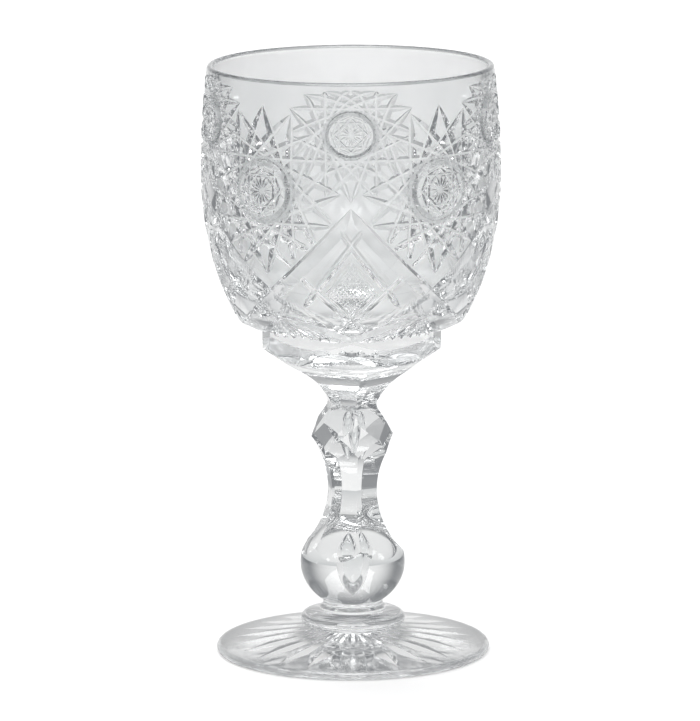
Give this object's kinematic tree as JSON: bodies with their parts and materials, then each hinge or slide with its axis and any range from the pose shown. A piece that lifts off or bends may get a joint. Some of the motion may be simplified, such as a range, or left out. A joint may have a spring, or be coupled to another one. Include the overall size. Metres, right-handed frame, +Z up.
{
  "type": "cut glass goblet",
  "caption": "Stemmed drinking goblet of clear cut glass: a deep bowl on a facetted baluster stem with air tears, a merese and a round rayed foot.",
  "frame": {"origin": "middle of the foot's resting face, on the axis", "axes": "+Z up the axis to the rim, -Y towards the middle of a cut panel"},
  "size_m": [0.0804, 0.0804, 0.16],
  "materials": {
    "cut_crystal": "clear lead crystal, wheel cut and polished",
    "stem_crystal": "clear lead crystal, facetted and polished",
    "merese_crystal": "clear lead crystal, fire polished",
    "foot_crystal": "clear lead crystal, fire polished above and star cut below"
  },
  "bodies": {
    "root": {"bowl": "cut_crystal", "stem": "stem_crystal", "merese": "merese_crystal", "foot": "foot_crystal"}
  },
  "joints": []
}
